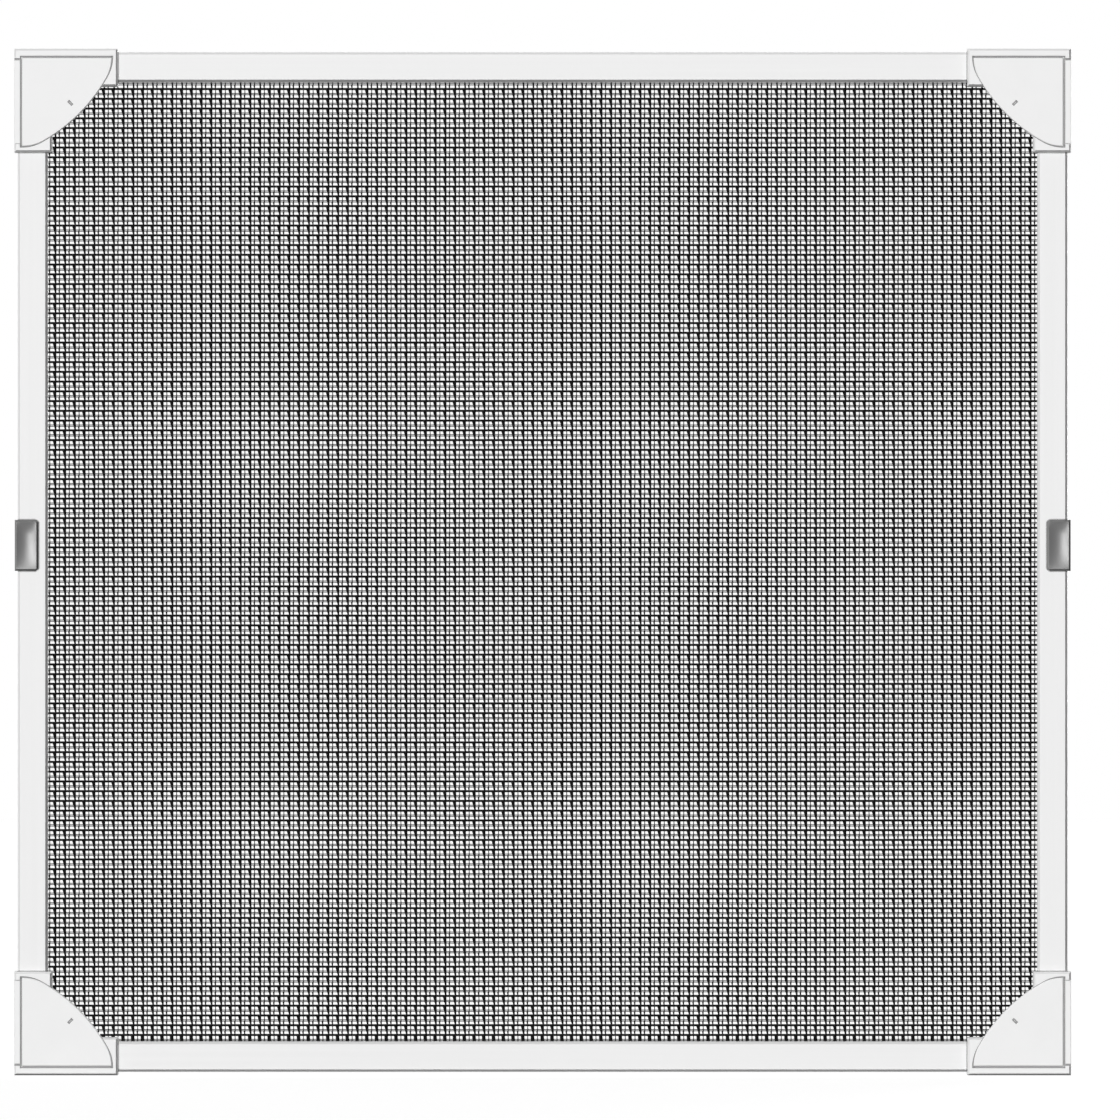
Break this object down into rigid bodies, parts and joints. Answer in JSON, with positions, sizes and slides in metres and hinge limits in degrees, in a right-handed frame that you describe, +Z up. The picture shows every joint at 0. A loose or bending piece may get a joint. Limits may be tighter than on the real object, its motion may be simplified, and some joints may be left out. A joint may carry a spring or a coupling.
{
  "type": "window screen frame",
  "caption": "Framed window insect screen: hollow white rails sleeved into moulded fan shaped corner elbows, black woven mesh, dished finger pulls at the sides and magnet strips on the back.",
  "frame": {"origin": "centre of the frame's outer box: middle of its width, depth and height", "axes": "+X to the right seen from the front, +Y from the front to the magnet strips on the back, +Z up"},
  "size_m": [0.7, 0.0142, 0.68],
  "materials": {
    "rail_plastic": "white rigid plastic extrusion, satin",
    "corner_plastic": "white moulded plastic, satin",
    "mesh_yarn": "black coated yarn, woven",
    "spline_rubber": "dark grey soft cord",
    "magnet_rubber": "dark brown magnetic rubber strip",
    "pull_metal": "satin grey metal"
  },
  "bodies": {
    "root": {"top_rail": "rail_plastic", "bottom_rail": "rail_plastic", "left_rail": "rail_plastic", "right_rail": "rail_plastic", "top_left_elbow": "corner_plastic", "top_right_elbow": "corner_plastic", "bottom_left_elbow": "corner_plastic", "bottom_right_elbow": "corner_plastic", "top_left_cover": "corner_plastic", "top_right_cover": "corner_plastic", "bottom_left_cover": "corner_plastic", "bottom_right_cover": "corner_plastic", "insect_mesh": "mesh_yarn", "top_spline": "spline_rubber", "bottom_spline": "spline_rubber", "left_spline": "spline_rubber", "right_spline": "spline_rubber", "top_magnet": "magnet_rubber", "bottom_magnet": "magnet_rubber", "left_upper_magnet": "magnet_rubber", "left_lower_magnet": "magnet_rubber", "right_upper_magnet": "magnet_rubber", "right_lower_magnet": "magnet_rubber", "left_finger_pull": "pull_metal", "right_finger_pull": "pull_metal"}
  },
  "joints": []
}
